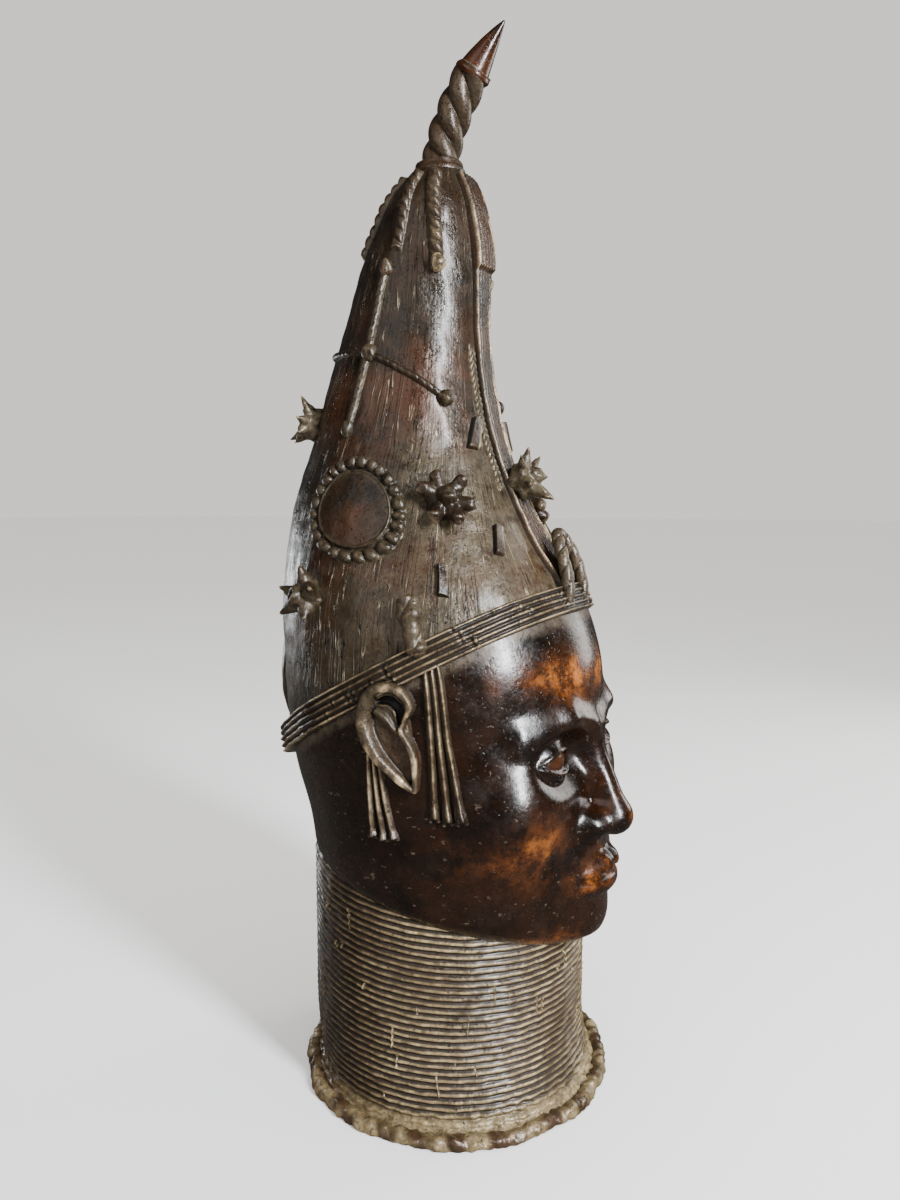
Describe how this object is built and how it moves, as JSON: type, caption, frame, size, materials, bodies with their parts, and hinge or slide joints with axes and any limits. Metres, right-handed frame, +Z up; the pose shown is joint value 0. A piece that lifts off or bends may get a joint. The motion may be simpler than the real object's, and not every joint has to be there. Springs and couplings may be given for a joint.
{
  "type": "bronze commemorative head",
  "caption": "Freestanding cast bronze commemorative head with a ringed collar, a ribbed headband and a tall pointed headdress with bosses, medallions and a twisted finial.",
  "frame": {"origin": "on the flat underside, on the axis of the collar", "axes": "+Z up along the height, -Z out of the underside, -Y towards the front of the face, +X towards the figure's left ear"},
  "size_m": [0.194, 0.2072, 0.5606],
  "materials": {
    "bronze": "dark brown patina, semi-gloss, rubbed golden on the face and dusty in the recesses"
  },
  "bodies": {
    "root": {"commemorative_head": "bronze"}
  },
  "joints": []
}
